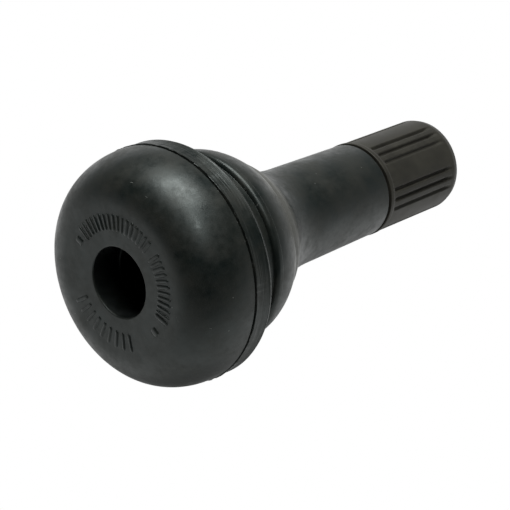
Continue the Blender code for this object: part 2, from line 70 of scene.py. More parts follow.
def heights(name):
    """Lowest and highest point of a CAD node in mm."""
    low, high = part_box(name)
    return low.z / MM, high.z / MM


def radius_of(name):
    """Largest radius of a CAD node in mm."""
    return max(math.hypot(v.co.x, v.co.y) for v in frame["nodes"][name].data.vertices) / MM


FLASH_R = radius_of("rubber_body")
THREAD_R = radius_of("cap_seal") + 0.05
FOOT_Z, MOUTH_Z = heights("brass_stem")
SLEEVE_END_Z = heights("rubber_body")[1]
CAP_BOTTOM_Z, CAP_END_Z = heights("cap")
PLUG_BOTTOM_Z, PLUG_TOP_Z = heights("core_plug")
PIN_BOTTOM_Z, PIN_TIP_Z = heights("core_pin")
SPRING_BOTTOM_Z, SPRING_TOP_Z = heights("core_spring")
PLUG_R = radius_of("core_plug")
print(f"head {2 * FLASH_R:.2f} mm across, sleeve ends at {SLEEVE_END_Z:.2f} mm")
print(f"mouth at {MOUTH_Z:.2f} mm, thread radius {THREAD_R:.3f} mm")

# %% [markdown]
# Three small helpers serve every material and tree. `linear` turns an sRGB hex colour
# into the linear values that a shader takes. `fill` sets a node's inputs, and links an
# input when the value is another node or its output. `node` adds a node and fills it.
# MATH, RAMP and NOISE are the kinds of node that the trees use most.

# %% Helpers for node trees
MATH, RAMP, NOISE = "ShaderNodeMath", "ShaderNodeMapRange", "ShaderNodeTexNoise"


def linear(hex_colour):
    """sRGB hex colour as linear RGBA."""
    channels = [int(hex_colour[i:i + 2], 16) / 255 for i in (0, 2, 4)]
    return (*(c / 12.92 if c <= 0.04045 else ((c + 0.055) / 1.055) ** 2.4 for c in channels), 1.0)


def fill(tree, made, inputs):
    """Set or link a node's inputs. A node given as a value stands for its first output."""
    for name, value in inputs.items():
        socket = made.inputs[name]
        if isinstance(value, bpy.types.Node):
            value = value.outputs[0]
        if isinstance(value, bpy.types.NodeSocket):
            tree.links.new(value, socket)
        else:
            socket.default_value = value


def node(tree, kind, inputs=None, **settings):
    """Add a node to a tree, make its settings and fill its inputs."""
    made = tree.nodes.new(kind)
    for name, value in settings.items():
        setattr(made, name, value)
    fill(tree, made, inputs or {})
    return made


print("middle grey is", round(linear("808080")[0], 3), "in linear values")

# %% [markdown]
# ## Camera
# The photograph looks at the head from below and to one side, so the camera stands
# under the floor's level. Its place and turn were found by fitting the circles of the
# valve to the picture. A roll about the line of sight lays the stem over to the right.

# %% Camera
CAMERA_PLACE = Vector((117.0, -43.85, -104.06)) * MM
CAMERA_TARGET = Vector((0.859, 2.169, 17.306)) * MM
CAMERA_ROLL = math.radians(67.72)
CAMERA_LENS = 127.06

camera = bpy.data.objects.new("camera", bpy.data.cameras.new("camera"))
bpy.context.scene.collection.objects.link(camera)
camera.data.lens = CAMERA_LENS
camera.data.sensor_width = 36.0
camera.data.clip_start = 1 * MM
aim = (CAMERA_PLACE - CAMERA_TARGET).to_track_quat("Z", "Y").to_matrix()
camera_turn = aim @ Matrix.Rotation(CAMERA_ROLL, 3, "Z")
camera.matrix_world = Matrix.Translation(CAMERA_PLACE) @ camera_turn.to_4x4()
bpy.context.scene.camera = camera
bpy.context.scene.view_settings.view_transform = "Standard"
PICTURE_RIGHT, PICTURE_UP, TO_CAMERA = (camera_turn.col[i].copy() for i in range(3))
print("the camera is", round((CAMERA_PLACE - CAMERA_TARGET).length / MM), "mm away")

# %% [markdown]
# ## Light
# The valve was photographed on a white table in a dark room. Black rubber shows little
# of its own colour and much of what is mirrored in it, so the light is set up as the
# room was. A white world stands for the table and what lies round it. It is at full
# strength where it is seen or mirrored, and a little less as soft light.

# %% World
WORLD_SOFT_LIGHT = 0.75

world = bpy.data.worlds.new("white_surroundings")
bpy.context.scene.world = world
world.use_nodes = True
tree = world.node_tree
tree.nodes.clear()
path = node(tree, "ShaderNodeLightPath").outputs
seen = node(tree, MATH, {0: path["Is Camera Ray"], 1: path["Is Glossy Ray"]}, operation="MAXIMUM")
seen = node(tree, MATH, {0: seen, 1: path["Is Transmission Ray"]}, operation="MAXIMUM")
strength = node(tree, RAMP, {"Value": seen, "To Min": WORLD_SOFT_LIGHT, "To Max": 1.0})
background = node(tree, "ShaderNodeBackground", {"Color": linear("ffffff"), "Strength": strength})
node(tree, "ShaderNodeOutputWorld", {"Surface": background})
print("world: white where it is seen,", WORLD_SOFT_LIGHT, "as soft light")

# %% [markdown]
# **Lamps.** One large soft lamp stands above the valve, and a small weak one nearer to
# the camera. Where each highlight lies on the round head gave the lamp's direction.

# %% Lamps
# Direction as right, up and towards the camera; width and height in metres; watts.
LAMPS = {
    "soft_lamp": ((0.02, 0.90, 0.43), 0.26, 0.19, 1.66),
    "far_lamp": ((0.21, 0.48, 0.85), 0.07, 0.11, 0.28)}
LAMP_DISTANCE = 0.36
LIT_POINT = Vector((0, 0, 12)) * MM


def seen_direction(side):
    """Direction given as right, up and towards the camera in the picture."""
    return (PICTURE_RIGHT * side[0] + PICTURE_UP * side[1] + TO_CAMERA * side[2]).normalized()


for name, (side, width, height, power) in LAMPS.items():
    lamp = bpy.data.objects.new(name, bpy.data.lights.new(name, "AREA"))
    bpy.context.scene.collection.objects.link(lamp)
    lamp.data.shape = "ELLIPSE"
    lamp.data.size = width
    lamp.data.size_y = height
    lamp.data.energy = power
    lamp.visible_camera = False
    lamp_z = seen_direction(side)
    lamp_y = lamp_z.cross(PICTURE_RIGHT).normalized()
    lamp_turn = Matrix((lamp_y.cross(lamp_z), lamp_y, lamp_z)).transposed()
    lamp.matrix_world = Matrix.Translation(LIT_POINT + lamp_z * LAMP_DISTANCE) @ lamp_turn.to_4x4()
    print(name, "at", [round(c, 3) for c in lamp.matrix_world.translation])

# %% [markdown]
# **Dark screen.** The room is a sphere round valve and lamps, which the camera doesn't
# see. It is clear apart from soft dark patches: the room in front, its two corners and
# the valve's own shadow on the table. Rubber looks black where one is mirrored in it.

# %% Dark screen
SCREEN_R = 0.42
# Direction as above; the angles where a patch ends and where it is full; its darkness.
SCREEN_PATCHES = {
    "room": ((0.0, 0.55, 0.83), 114, 72, 1.0),
    "left corner": ((-0.84, 0.50, -0.20), 42, 10, 0.8),
    "right corner": ((0.92, 0.38, -0.05), 46, 12, 0.68),
    "shadow on the table": ((0.0, -0.66, -0.75), 42, 5, 0.80)}


def surroundings(name, material_name, bm):
    """Make an object of the surroundings, and give it back with its material's empty tree."""
    mesh = bpy.data.meshes.new(name)
    bm.to_mesh(mesh)
    bm.free()
    made = bpy.data.objects.new(name, mesh)
    bpy.context.scene.collection.objects.link(made)
    material = bpy.data.materials.new(material_name)
    material.use_nodes = True
    material.node_tree.nodes.clear()
    mesh.materials.append(material)
    return made, material.node_tree


bm = bmesh.new()
bmesh.ops.create_uvsphere(bm, u_segments=48, v_segments=24, radius=SCREEN_R)
screen, tree = surroundings("dark_screen", "dark_room", bm)
screen.visible_camera = False
place = node(tree, "ShaderNodeTexCoord")
unit = node(tree, "ShaderNodeVectorMath", {0: place.outputs["Object"]}, operation="NORMALIZE")
cover = 0.0
for side, edge, core, darkness in SCREEN_PATCHES.values():
    facing = node(tree, "ShaderNodeVectorMath", {0: unit, 1: seen_direction(side)}, operation="DOT_PRODUCT")
    patch = node(tree, RAMP, {
        "Value": facing.outputs["Value"], "From Min": math.cos(math.radians(edge)),
        "From Max": math.cos(math.radians(core)), "To Max": darkness}, interpolation_type="SMOOTHSTEP")
    cover = node(tree, MATH, {0: patch, 1: cover}, operation="MAXIMUM")
clear = node(tree, "ShaderNodeBsdfTransparent")
dark = node(tree, "ShaderNodeBsdfDiffuse", {"Color": linear("0a0a0a")})
mixed = node(tree, "ShaderNodeMixShader", {0: cover, 1: clear, 2: dark})
node(tree, "ShaderNodeOutputMaterial", {"Surface": mixed})
print("dark screen with", ", ".join(SCREEN_PATCHES))

# %% [markdown]
# ## Floor
# The floor is a pale disc under the head. It shows only from above, because the camera
# of the photograph looks up from under it. A weak glow of its own keeps the paint pale
# without more light on the valve, and leaves the valve's shadow. Far from the valve
# the disc fades into the white surroundings.

# %% Floor
FLOOR_R = 0.9
FLOOR_FADE_START, FLOOR_FADE_END = 0.10, 0.32
FLOOR_DROP = 0.05
FLOOR_GLOW = 0.30

bm = bmesh.new()
bmesh.ops.create_circle(bm, cap_ends=True, segments=96, radius=FLOOR_R)
for vert in bm.verts:
    vert.co.z = -FLOOR_DROP * MM
floor, tree = surroundings("floor", "pale_table", bm)
for kind in ("diffuse", "glossy", "transmission", "shadow"):
    setattr(floor, "visible_" + kind, False)
place = node(tree, "ShaderNodeTexCoord")
away = node(tree, "ShaderNodeVectorMath", {0: place.outputs["Object"]}, operation="LENGTH")
fade = node(tree, RAMP, {
    "Value": away.outputs["Value"], "From Min": FLOOR_FADE_START, "From Max": FLOOR_FADE_END},
    interpolation_type="SMOOTHSTEP")
paint = node(tree, "ShaderNodeBsdfDiffuse", {"Color": linear("e6e6e4")})
own_glow = node(tree, "ShaderNodeEmission", {"Color": linear("ffffff"), "Strength": FLOOR_GLOW})
paint = node(tree, "ShaderNodeAddShader", {0: paint, 1: own_glow})
white = node(tree, "ShaderNodeEmission", {"Color": linear("ffffff"), "Strength": 1.0})
faded = node(tree, "ShaderNodeMixShader", {0: fade, 1: paint, 2: white})
side = node(tree, "ShaderNodeNewGeometry")
clear = node(tree, "ShaderNodeBsdfTransparent")
one_sided = node(tree, "ShaderNodeMixShader", {0: side.outputs["Backfacing"], 1: faded, 2: clear})
node(tree, "ShaderNodeOutputMaterial", {"Surface": one_sided})
print("floor", FLOOR_R, "m in radius")

# %% [markdown]
# ## Materials
# Nothing on a real valve has one flat colour. Each finish below starts from one
# recipe: two close shades mixed by cloudy noise, a roughness that wanders between two
# values, and a fine bump. `Finish` holds the shader and its tree, so that a piece can
# add what is its own, such as lint on rubber or tool lines on brass. Its cloud and
# grain sizes are real ones in millimetres, and so are those of the patterns after it.

# %% One recipe for every finish
NOISE_LOW, NOISE_HIGH = 0.32, 0.68


class Finish:
    """A procedural material: cloudy colour, wandering roughness and a fine bump."""

    def __init__(self, name, light, dark, rough, cloud_mm, grain_mm, grain_depth_mm, metal=0.0, ior=None):
        self.material = bpy.data.materials.new(name)
        self.material.use_nodes = True
        self.tree = self.material.node_tree
        self.shader = self.tree.nodes["Principled BSDF"]
        fill(self.tree, self.shader, {"Metallic": metal})
        if ior:
            fill(self.tree, self.shader, {"IOR": ior})
        self.place = self.add("ShaderNodeTexCoord").outputs["Object"]
        clouds = self.add(NOISE, {**self.at(cloud_mm), "Detail": 4.0, "Roughness": 0.6})
        clouds = {"Value": clouds, "From Min": NOISE_LOW, "From Max": NOISE_HIGH}
        spread = self.add(RAMP, clouds)
        mix = {"Factor": spread, "A": linear(dark), "B": linear(light)}
        self.colour = self.add("ShaderNodeMix", mix, data_type="RGBA").outputs["Result"]
        self.rough = self.add(RAMP, {**clouds, "To Min": rough[0], "To Max": rough[1]})
        grain = self.add(NOISE, {**self.at(grain_mm), "Detail": 2.0})
        self.height = self.add(MATH, {0: grain, 1: grain_depth_mm * MM}, operation="MULTIPLY")

    def add(self, kind, inputs=None, **settings):
        """Add a node to this finish's tree."""
        return node(self.tree, kind, inputs, **settings)

    def at(self, size_mm):
        """Inputs that give a texture its size in mm."""
        return {"Vector": self.place, "Scale": 1 / (size_mm * MM)}

    def raise_by(self, share, depth_mm):
        """Add share times a depth to the surface's height."""
        height = {0: share, 1: depth_mm * MM, 2: self.height}
        self.height = self.add(MATH, height, operation="MULTIPLY_ADD")

    def stain(self, share, hex_colour):
        """Lay a colour over the finish where share is 1."""
        mix = {"Factor": share, "A": self.colour, "B": linear(hex_colour)}
        self.colour = self.add("ShaderNodeMix", mix, data_type="RGBA").outputs["Result"]

    def done(self):
        """Link what was gathered to the shader and give the material back."""
        bump = self.add("ShaderNodeBump", {"Height": self.height, "Distance": 1.0, "Strength": 1.0})
        fill(self.tree, self.shader, {"Normal": bump, "Base Color": self.colour, "Roughness": self.rough})
        print("finish", self.material.name)
        return self.material


# %% [markdown]
# **Moulded rubber.** The body is black rubber pressed in a steel mould. It is nearly
# black with a soft sheen, which is mottled: smoother here and duller there. So its
# roughness wanders more than its colour, once over 2.6 mm and again over 0.6 mm. The
# skin swells and sinks by a few hundredths of a millimetre and has a fine grain.

# %% Moulded rubber
RUBBER_SHEEN_TINT = "f4fffb"
SWELLS = ((3.0, 0.034), (1.0, 0.016))  # size and height in mm
MOTTLE_SIZE, MOTTLE_ROUGHNESS = 0.6, 0.07
MOTTLE_LOW, MOTTLE_HIGH = 0.30, 0.70

rubber = Finish("moulded_black_rubber", "1f201c", "0f1615", (0.35, 0.51), 2.6, 0.12, 0.0018, ior=1.47)
fill(rubber.tree, rubber.shader, {"Specular Tint": linear(RUBBER_SHEEN_TINT)})
for size, depth in SWELLS:
    swell = rubber.add(NOISE, {**rubber.at(size), "Detail": 2.0})
    rubber.raise_by(swell, depth)
mottle = rubber.add(NOISE, {**rubber.at(MOTTLE_SIZE), "Detail": 4.0, "Roughness": 0.65})
mottle = rubber.add(RAMP, {
    "Value": mottle, "From Min": MOTTLE_LOW, "From Max": MOTTLE_HIGH,
    "To Min": -MOTTLE_ROUGHNESS, "To Max": MOTTLE_ROUGHNESS})
rubber.rough = rubber.add(MATH, {0: rubber.rough, 1: mottle}, operation="ADD")
rubber_z = rubber.add("ShaderNodeSeparateXYZ", {0: rubber.place}).outputs["Z"]
print("mottled over", MOTTLE_SIZE, "mm")

# %% [markdown]
# **Lines on the band.** The band that seals on the rim keeps the turned lines of its
# mould. A noise that is stretched twenty times round the stem gives such lines, each
# a little different, where a wave would make them all alike.

# %% Turned lines on the band
BAND_LOW_Z, BAND_HIGH_Z, BAND_EDGE = 6.0, 8.0, 0.1
BAND_LINE_PITCH, BAND_LINE_DEPTH = 0.22, 0.050
BAND_STRETCH = (0.05, 0.05, 1.0)


def between(low, high, low_run, high_run, fading):
    """1 between two heights on the rubber, which fades out over a run at each of them."""
    ends = []
    for start, run in ((low, low_run), (high, -high_run)):
        ends.append(rubber.add(RAMP, {
            "Value": rubber_z, "From Min": start * MM, "From Max": (start + run) * MM},
            interpolation_type=fading))
    return rubber.add(MATH, {0: ends[0], 1: ends[1]}, operation="MULTIPLY")


squeezed = rubber.add("ShaderNodeVectorMath", {0: rubber.place, 1: BAND_STRETCH}, operation="MULTIPLY")
lines = rubber.add(NOISE, {**rubber.at(BAND_LINE_PITCH), "Vector": squeezed, "Detail": 1.0})
band = between(BAND_LOW_Z, BAND_HIGH_Z, BAND_EDGE, BAND_EDGE, "LINEAR")
lines = rubber.add(MATH, {0: lines, 1: band}, operation="MULTIPLY")
rubber.raise_by(lines, BAND_LINE_DEPTH)
print("band lines about", BAND_LINE_PITCH, "mm apart")

# %% [markdown]
# ** Ridge highlight.** A paler shade is painted on the two ridges above the shoulder,
# as a painted highlight. It fades in and out with the height along the stem.

# %% Painted highlight on the ridges
RIDGE_HIGHLIGHT_COLOUR = "474742"
RIDGE_HIGHLIGHT_LOW_Z, RIDGE_HIGHLIGHT_LOW_RUN = 13.4, 1.6
RIDGE_HIGHLIGHT_HIGH_Z, RIDGE_HIGHLIGHT_HIGH_RUN = 18.4, 1.2

# painted highlight: a paler colour laid on the two ridges
rubber.stain(between(RIDGE_HIGHLIGHT_LOW_Z, RIDGE_HIGHLIGHT_HIGH_Z, RIDGE_HIGHLIGHT_LOW_RUN, RIDGE_HIGHLIGHT_HIGH_RUN, "SMOOTHSTEP"), RIDGE_HIGHLIGHT_COLOUR)
print("painted_ridge_highlight from", RIDGE_HIGHLIGHT_LOW_Z, "to", RIDGE_HIGHLIGHT_HIGH_Z, "mm")

# %% [markdown]
# **Lint.** Specks and fibres of lint stick to rubber. A speck is a small ball round
# the middle of a Voronoi cell, where the surface happens to cut it. A fibre is a short
# stretch of a noise's middle line.

# %% Specks and fibres of lint
SPECK_SPACING, SPECK_SIZE = 1.9, 0.06
FIBRE_CURL, FIBRE_LENGTH = 2.8, 0.8
FIBRE_WIDTH = 0.003  # as a share of the noise's range
FIBRE_LOW, FIBRE_HIGH = 0.78, 0.80  # keeps few of the stretches

cells = rubber.add("ShaderNodeTexVoronoi", rubber.at(SPECK_SPACING))
speck = SPECK_SIZE / SPECK_SPACING
specks = rubber.add(RAMP, {"Value": cells.outputs["Distance"], "From Min": speck, "From Max": speck * 0.5})
curls = rubber.add(NOISE, {**rubber.at(FIBRE_CURL), "Detail": 0.0})
on_line = rubber.add(MATH, {0: curls, 1: 0.5, 2: FIBRE_WIDTH}, operation="COMPARE")
short = rubber.add(NOISE, {**rubber.at(FIBRE_LENGTH), "Detail": 0.0})
short = rubber.add(RAMP, {"Value": short, "From Min": FIBRE_LOW, "From Max": FIBRE_HIGH})
fibres = rubber.add(MATH, {0: on_line, 1: short}, operation="MULTIPLY")
lint = rubber.add(MATH, {0: specks, 1: fibres}, operation="MAXIMUM")
print("a speck in about every", SPECK_SPACING, "mm")

# %% [markdown]
# **Scuffs.** The fin of flash is rubbed where it stands out, so pale scuffs follow the
# parting line. They are a noise that only counts near the line's height. Lint and
# scuffs are both pale, so one stain lays them over the black.

# %% Scuffs along the parting line
SEAM_Z, SCUFF_REACH = 5.90, 0.20
SCUFF_SIZE, SCUFF_LOW, SCUFF_HIGH = 0.45, 0.60, 0.72
DUST_COLOUR = "6f716d"

off_seam = rubber.add(MATH, {0: rubber_z, 1: SEAM_Z * MM}, operation="SUBTRACT")
off_seam = rubber.add(MATH, {0: off_seam}, operation="ABSOLUTE")
near_seam = rubber.add(RAMP, {"Value": off_seam, "From Min": SCUFF_REACH * MM, "From Max": 0.0})
rubbed = rubber.add(NOISE, {**rubber.at(SCUFF_SIZE), "Detail": 3.0})
rubbed = rubber.add(RAMP, {"Value": rubbed, "From Min": SCUFF_LOW, "From Max": SCUFF_HIGH})
scuffs = rubber.add(MATH, {0: near_seam, 1: rubbed}, operation="MULTIPLY")
pale = rubber.add(MATH, {0: lint, 1: scuffs}, operation="MAXIMUM")
rubber.stain(pale, DUST_COLOUR)
print("scuffs", SCUFF_REACH, "mm to each side of", SEAM_Z, "mm")

# %% [markdown]
# ** Air inlet.** The wall inside the inlet is painted a deeper black, as painted shade
# in the hole. The stain covers what lies inside a radius and above the face.

# %% Painted shade on the wall of the air inlet
INLET_PAINTED_SHADE_COLOUR = "0c0f0e"
INLET_EDGE_R, INLET_DARK_R = 3.43, 3.39
INLET_EDGE_Z, INLET_DARK_Z = 0.20, 0.45

off_axis = rubber.add("ShaderNodeVectorMath", {0: rubber.place, 1: (1.0, 1.0, 0.0)}, operation="MULTIPLY")
off_axis = rubber.add("ShaderNodeVectorMath", {0: off_axis}, operation="LENGTH").outputs["Value"]
within = rubber.add(RAMP, {"Value": off_axis, "From Min": INLET_EDGE_R * MM, "From Max": INLET_DARK_R * MM})
deep = rubber.add(RAMP, {"Value": rubber_z, "From Min": INLET_EDGE_Z * MM, "From Max": INLET_DARK_Z * MM})
painted_inlet_shade = rubber.add(MATH, {0: within, 1: deep}, operation="MULTIPLY")
# painted shade: the inlet's wall is coloured darker inside the hole
rubber.stain(painted_inlet_shade, INLET_PAINTED_SHADE_COLOUR)
RUBBER = rubber.done()

# %% [markdown]
# **Moulded cap plastic.** The cap is a black polymer with a fine satin from the
# mould. It is a little greyer and warmer than the rubber and reflects more evenly.

# %% Moulded cap plastic
CAP_SHEEN_TINT = "fffff2"

plastic = Finish("satin_black_polypropylene", "31302a", "252420", (0.45, 0.57), 2.4, 0.09, 0.0024, ior=1.38)
fill(plastic.tree, plastic.shader, {"Specular Tint": linear(CAP_SHEEN_TINT)})
CAP_PLASTIC = plastic.done()

# %% [markdown]
# **Brass, steel and the small rubbers.** The stem, plug and barrel are turned on a
# lathe, which leaves rings about 0.06 mm apart. They are drawn at 0.12 mm, so that
# they show. The pin is drawn wire, the cup is pressed, and the seals are matte.

# %% Metals and seals
TOOL_LINE_PITCH, TOOL_LINE_DEPTH = 0.12, 0.0012


def turned_brass(name, light, dark, rough):
    """Brass with the fine rings that a lathe leaves."""
    brass = Finish(name, light, dark, rough, 1.6, 0.08, 0.0006, metal=1.0)
    axes = brass.add("ShaderNodeSeparateXYZ", {0: brass.place}).outputs
    rings = {0: axes["Z"], 1: math.tau / (TOOL_LINE_PITCH * MM)}
    rings = brass.add(MATH, rings, operation="MULTIPLY")
    rings = brass.add(MATH, {0: rings}, operation="SINE")
    brass.raise_by(rings, TOOL_LINE_DEPTH)
    return brass.done()


STEM_BRASS = turned_brass("turned_brass_stem", "d3bb80", "bda263", (0.24, 0.34))
PLUG_BRASS = turned_brass("turned_brass_plug", "d8c088", "c4a96a", (0.22, 0.32))
BARREL_BRASS = turned_brass("turned_brass_barrel", "cfb67a", "b89c5e", (0.26, 0.36))
PIN_BRASS = Finish("drawn_brass_wire", "dcc07e", "c7a661", (0.20, 0.28), 0.8, 0.05, 0.0004, metal=1.0).done()
CUP_BRASS = Finish("pressed_brass", "cba85f", "b3904a", (0.28, 0.36), 0.9, 0.06, 0.0006, metal=1.0).done()
SPRING_STEEL = Finish(
    "drawn_spring_steel", "c3c6ca", "a4a8ad", (0.20, 0.30), 0.5, 0.04, 0.0003, metal=1.0).done()
PACKING = Finish("red_ptfe_packing", "b0443a", "963229", (0.38, 0.48), 0.8, 0.07, 0.0008, ior=1.38).done()
GASKET = Finish("moulded_gasket_rubber", "262626", "1c1c1c", (0.55, 0.66), 0.7, 0.06, 0.0010, ior=1.47).done()
SEAL = Finish("punched_washer_rubber", "292929", "1f1f1f", (0.58, 0.68), 0.9, 0.07, 0.0012, ior=1.47).done()

# %% [markdown]
# ## Round pieces
# Almost every piece of a valve is round, so one helper spins an outline round Z. An
# outline is a list of (radius, height) corners in mm. A third number rounds the
# corner with an arc.

# %% Outlines with rounded corners
ARC_STEP = math.radians(10)


def rounded(corners):
    """Outline whose corners (r, z, radius) become arcs."""
    points = []
    for index, corner in enumerate(corners):
        here = Vector(corner[:2])
        if len(corner) == 2:
            points.append(here)
            continue
        before = (Vector(corners[index - 1][:2]) - here).normalized()
        after = (Vector(corners[(index + 1) % len(corners)][:2]) - here).normalized()
        half = before.angle(after) / 2
        centre = here + (before + after).normalized() * corner[2] / math.sin(half)
        start = here + before * corner[2] / math.tan(half) - centre
        end = here + after * corner[2] / math.tan(half) - centre
        sweep = math.atan2(start.x * end.y - start.y * end.x, start.dot(end))
        steps = max(2, math.ceil(abs(sweep) / ARC_STEP))
        for step in range(steps + 1):
            points.append(centre + Matrix.Rotation(sweep * step / steps, 2) @ start)
    return points


def rows(start, end, pitch):
    """Evenly spaced heights from start to end, about a pitch apart."""
    count = max(1, round(abs(end - start) / pitch))
    return [start + (end - start) * step / count for step in range(count + 1)]


print("a rounded corner has", len(rounded([(1, 0), (1, 1, 0.2), (0, 1)])) - 2, "points")

# %% [markdown]
# `spun` makes the skin, `piece_from` closes it into a mesh whose faces point outwards,
# and `dress` hands the finished piece to the frame: the body that it rides on and the
# CAD node that it replaces.

# %% Lathe
SHARP = math.radians(30)


def spun(points, segments):
    """Spin an outline in mm round Z. One that starts and ends at radius 0 is left open there."""
    bm = bmesh.new()
    verts = [bm.verts.new((r * MM, 0, z * MM)) for r, z in points]
    edges = [bm.edges.new(pair) for pair in zip(verts, verts[1:])]
    if points[0][0] > 0:
        edges.append(bm.edges.new((verts[-1], verts[0])))
    bmesh.ops.spin(bm, geom=verts + edges, axis=(0, 0, 1), angle=math.tau, steps=segments, use_merge=True)
    return bm


def piece_from(bm, name, material):
    """Close a bmesh into a smooth piece with outward faces."""
    bmesh.ops.remove_doubles(bm, verts=bm.verts, dist=1e-7)
    bmesh.ops.recalc_face_normals(bm, faces=bm.faces)
    mesh = bpy.data.meshes.new(name)
    bm.to_mesh(mesh)
    bm.free()
    mesh.shade_smooth()
    mesh.set_sharp_from_angle(angle=SHARP)
    mesh.materials.append(material)
    piece = bpy.data.objects.new(name, mesh)
    bpy.context.scene.collection.objects.link(piece)
    return piece


def dress(piece, body, slot, *nodes):
    """Hand a finished piece to the frame."""
    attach(piece, body)
    if nodes:
        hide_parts(*nodes)
    print(piece.name, "has", sum(len(p.vertices) - 2 for p in piece.data.polygons), "triangles")


print("edges sharper than", round(math.degrees(SHARP)), "degrees stay sharp")

# %% [markdown]
# ## Geometry Nodes
# Threads, grip grooves and marks repeat by a rule, so Geometry Nodes make them. Each
# tree has named inputs for its sizes. `grow` sets them on a modifier, keeps the
# evaluated result as a plain mesh, and takes the modifier off again.

# %% Helpers for Geometry Nodes trees


def new_tree(name, **sizes):
    """Geometry tree with a named input for each size, given back with its inputs."""
    tree = bpy.data.node_groups.new(name, "GeometryNodeTree")
    tree.interface.new_socket("Geometry", in_out="INPUT", socket_type="NodeSocketGeometry")
    tree.interface.new_socket("Geometry", in_out="OUTPUT", socket_type="NodeSocketGeometry")
    for label, value in sizes.items():
        kind = "NodeSocketInt" if isinstance(value, int) else "NodeSocketFloat"
        socket = tree.interface.new_socket(label.replace("_", " "), in_out="INPUT", socket_type=kind)
        socket.default_value = value
    tree.interface.new_socket("Material", in_out="INPUT", socket_type="NodeSocketMaterial")
    entry = tree.nodes.new("NodeGroupInput")
    return tree, entry.outputs


def close_tree(tree, geometry, material):
    """End a tree in Realize Instances and Set Material."""
    plain = node(tree, "GeometryNodeRealizeInstances", {"Geometry": geometry})
    painted = node(tree, "GeometryNodeSetMaterial", {"Geometry": plain, "Material": material})
    node(tree, "NodeGroupOutput", {"Geometry": painted})
    print(tree.name, "tree has", len(tree.nodes), "nodes")


def grow(piece, tree, **sizes):
    """Run a tree on a piece and keep the result as its plain mesh."""
    modifier = piece.modifiers.new(tree.name, "NODES")
    modifier.node_group = tree
    for item in tree.interface.items_tree:
        label = item.name.replace(" ", "_")
        if item.in_out == "INPUT" and label in sizes:
            modifier[item.identifier] = sizes[label]
    bpy.context.view_layer.update()
    seen = piece.evaluated_get(bpy.context.evaluated_depsgraph_get())
    mesh = bpy.data.meshes.new_from_object(seen)
    piece.modifiers.remove(modifier)
    piece.data = mesh
    print(tree.name, "made", len(mesh.polygons), "faces on", piece.name)


# %% [markdown]
# The thread and the grip grooves are both pressed into a round wall. They share three
# steps: find a point's distance and angle from Z, find how far it lies inside the two
# ends of the pattern, and move it towards Z by a depth.

# %% Steps that the round trees share


def polar(tree):
    """A point's axes, its distance from Z and its angle round Z."""
    spot = node(tree, "GeometryNodeInputPosition")
    axes = node(tree, "ShaderNodeSeparateXYZ", {0: spot}).outputs
    reach = node(tree, "ShaderNodeCombineXYZ", {"X": axes["X"], "Y": axes["Y"]})
    reach = node(tree, "ShaderNodeVectorMath", {0: reach}, operation="LENGTH").outputs["Value"]
    angle = node(tree, MATH, {0: axes["Y"], 1: axes["X"]}, operation="ARCTAN2")
    return axes, reach, angle


def between_ends(tree, height, given, rise, fall):
    """How far a height lies inside the inputs Start and End, as a share of the run at each."""
    above = node(tree, MATH, {0: height, 1: given["Start"]}, operation="SUBTRACT")
    above = node(tree, MATH, {0: above, 1: rise}, operation="DIVIDE")
    below = node(tree, MATH, {0: given["End"], 1: height}, operation="SUBTRACT")
    below = node(tree, MATH, {0: below, 1: fall}, operation="DIVIDE")
    return node(tree, MATH, {0: above, 1: below}, operation="MINIMUM")


def press_in(tree, given, axes, reach, depth, chosen):
    """Move the chosen points towards Z by a depth, and end the tree."""
    scale = node(tree, MATH, {0: depth, 1: -1.0}, operation="MULTIPLY")
    scale = node(tree, MATH, {0: scale, 1: reach}, operation="DIVIDE")
    shift_x = node(tree, MATH, {0: axes["X"], 1: scale}, operation="MULTIPLY")
    shift_y = node(tree, MATH, {0: axes["Y"], 1: scale}, operation="MULTIPLY")
    shift = node(tree, "ShaderNodeCombineXYZ", {"X": shift_x, "Y": shift_y})
    moved = node(tree, "GeometryNodeSetPosition", {
        "Geometry": given["Geometry"], "Selection": chosen, "Offset": shift})
    close_tree(tree, moved, given["Material"])


print("steps: polar, between_ends and press_in")

# %% [markdown]
# **Screw thread.** A thread is a groove that climbs one pitch with each turn. The
# tree moves the points of a cylinder inwards: how far depends on the height less the
# climb for the point's angle, folded into a zigzag. The same rule cuts the groove
# outside a stem and raises the ridge inside a cap.

# %% Tree for a screw thread
ON_WALL = 0.02 * MM

tree, given = new_tree(
    "screw thread", Pitch=0.8 * MM, Depth=0.4 * MM, Start=0.0, End=1.0, Radius=4 * MM,
    Root=0.1, Slope=0.75)
axes, reach, angle = polar(tree)
turns = node(tree, MATH, {0: axes["Z"], 1: given["Pitch"]}, operation="DIVIDE")
phase = node(tree, MATH, {0: angle, 1: -1 / math.tau, 2: turns}, operation="MULTIPLY_ADD")
phase = node(tree, MATH, {0: phase}, operation="FRACT")
zigzag = node(tree, MATH, {0: phase, 1: 2.0, 2: -1.0}, operation="MULTIPLY_ADD")
zigzag = node(tree, MATH, {0: zigzag}, operation="ABSOLUTE")
cut = node(tree, MATH, {0: zigzag, 1: given["Root"]}, operation="SUBTRACT")
cut = node(tree, MATH, {0: cut, 1: given["Slope"]}, operation="DIVIDE")
cut = node(tree, "ShaderNodeClamp", {"Value": cut})
ends = between_ends(tree, axes["Z"], given, given["Pitch"], given["Pitch"])
ends = node(tree, "ShaderNodeClamp", {"Value": ends})
depth = node(tree, MATH, {0: cut, 1: ends}, operation="MULTIPLY")
depth = node(tree, MATH, {0: depth, 1: given["Depth"]}, operation="MULTIPLY")
off = node(tree, MATH, {0: reach, 1: given["Radius"]}, operation="SUBTRACT")
off = node(tree, MATH, {0: off}, operation="ABSOLUTE")
